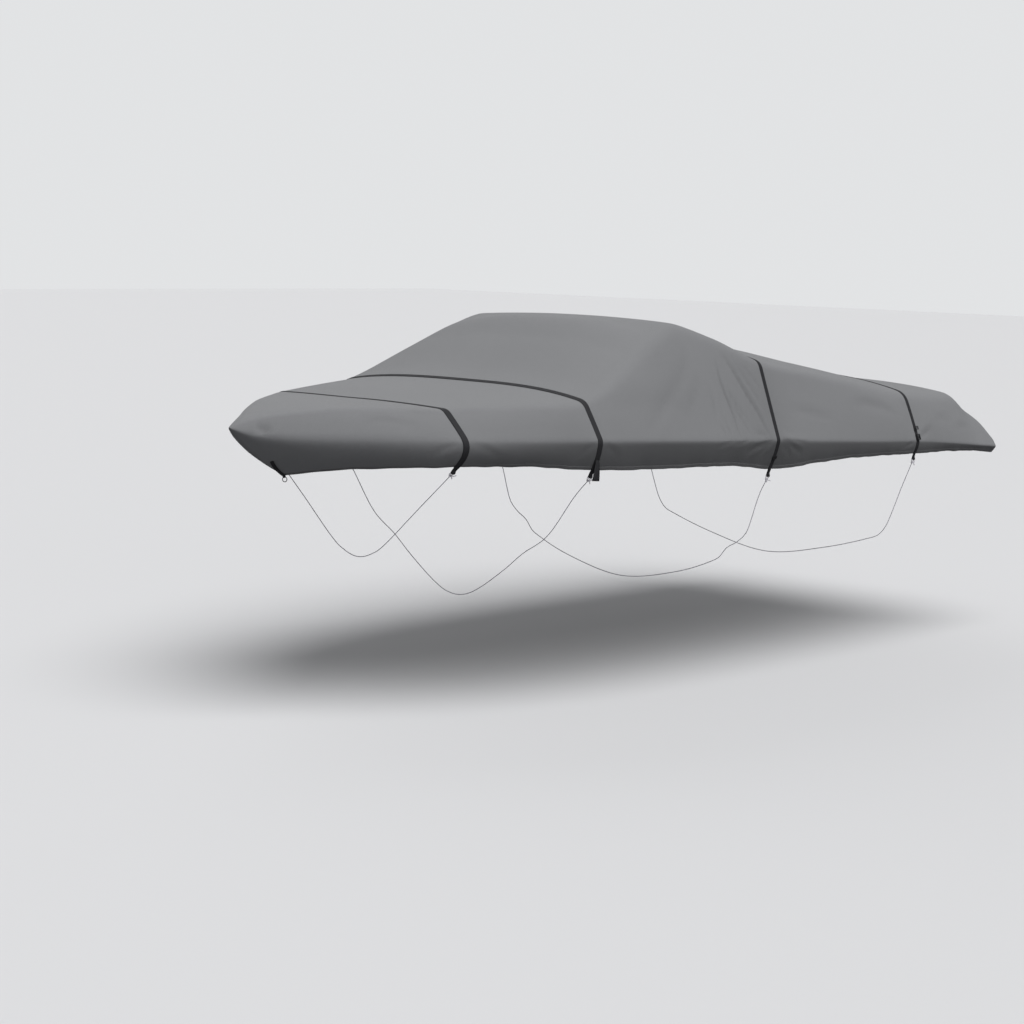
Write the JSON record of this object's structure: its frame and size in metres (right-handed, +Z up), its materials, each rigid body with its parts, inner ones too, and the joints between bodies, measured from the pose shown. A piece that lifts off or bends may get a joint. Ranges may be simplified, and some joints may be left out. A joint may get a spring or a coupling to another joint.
{
  "type": "boat cover",
  "caption": "Fitted storage cover for an open boat: taut woven sheet with a raised hump, pointed bow and square stern, cross straps with end loops, adjusters, a bow ring tab and tie cords.",
  "frame": {"origin": "at the mount under the top of the hump, on the centre line, where what is covered carries the sheet", "axes": "+X runs aft from bow to stern, +Y to starboard, +Z up"},
  "size_m": [5.137, 2.1442, 1.4818],
  "materials": {
    "cloth": "matte coated woven polyester, mid grey",
    "webbing": "matte black polypropylene webbing",
    "plastic": "moulded black plastic, slight sheen",
    "cord": "pale braided polyester"
  },
  "bodies": {
    "root": {"cover": "cloth", "strap_1": "webbing", "strap_2": "webbing", "strap_3": "webbing", "strap_4": "webbing", "bow_tab": "webbing", "slide_3_port": "plastic", "slide_3_starboard": "plastic", "slide_4_port": "plastic", "slide_4_starboard": "plastic", "buckle_4_port": "plastic", "buckle_4_starboard": "plastic", "bow_ring": "plastic", "knot_1_port": "cord", "knot_1_starboard": "cord", "knot_2_port": "cord", "knot_2_starboard": "cord", "knot_3_port": "cord", "knot_3_starboard": "cord", "knot_4_port": "cord", "knot_4_starboard": "cord", "cord_1": "cord", "cord_2": "cord", "cord_3": "cord", "cord_4": "cord"}
  },
  "joints": []
}
